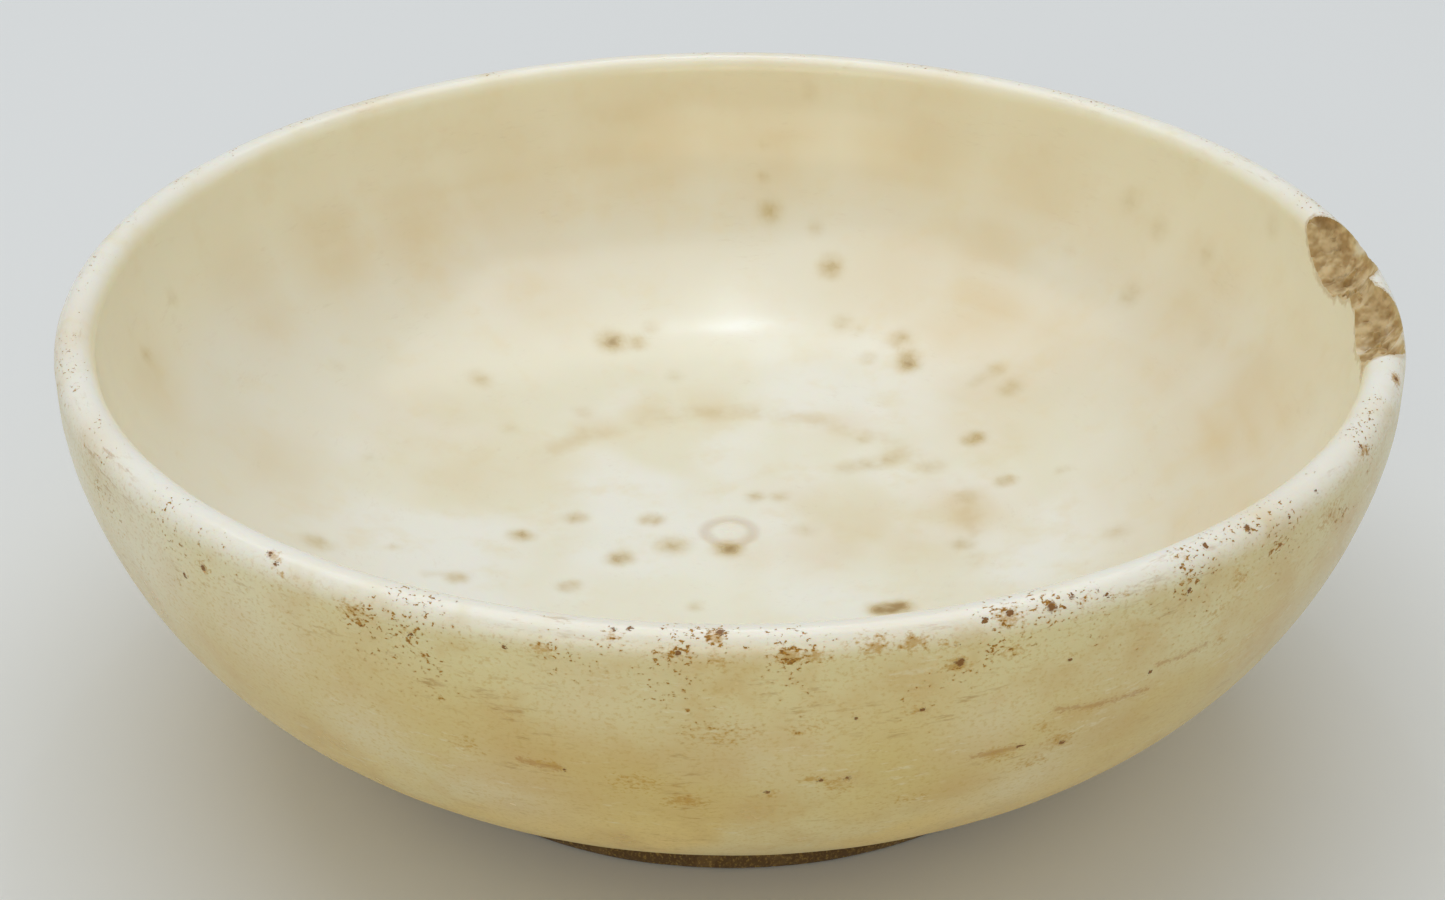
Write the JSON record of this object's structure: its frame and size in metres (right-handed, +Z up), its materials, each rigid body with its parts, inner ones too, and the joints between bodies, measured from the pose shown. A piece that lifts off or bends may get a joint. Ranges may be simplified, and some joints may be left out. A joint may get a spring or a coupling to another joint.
{
  "type": "stone mortar bowl",
  "caption": "Shallow round bowl turned from creamy veined marble, with a rounded lip, a low foot and a chipped rim.",
  "frame": {"origin": "centre of the flat ring that the foot rests on", "axes": "+Z up along the turning axis, out of the bowl's mouth; +X towards the chipped side of the rim"},
  "size_m": [0.2, 0.2, 0.068],
  "materials": {
    "marble": "worn satin polish, translucent, with ochre stains and brown dirt in the pits"
  },
  "bodies": {
    "root": {"mortar_bowl": "marble"}
  },
  "joints": []
}
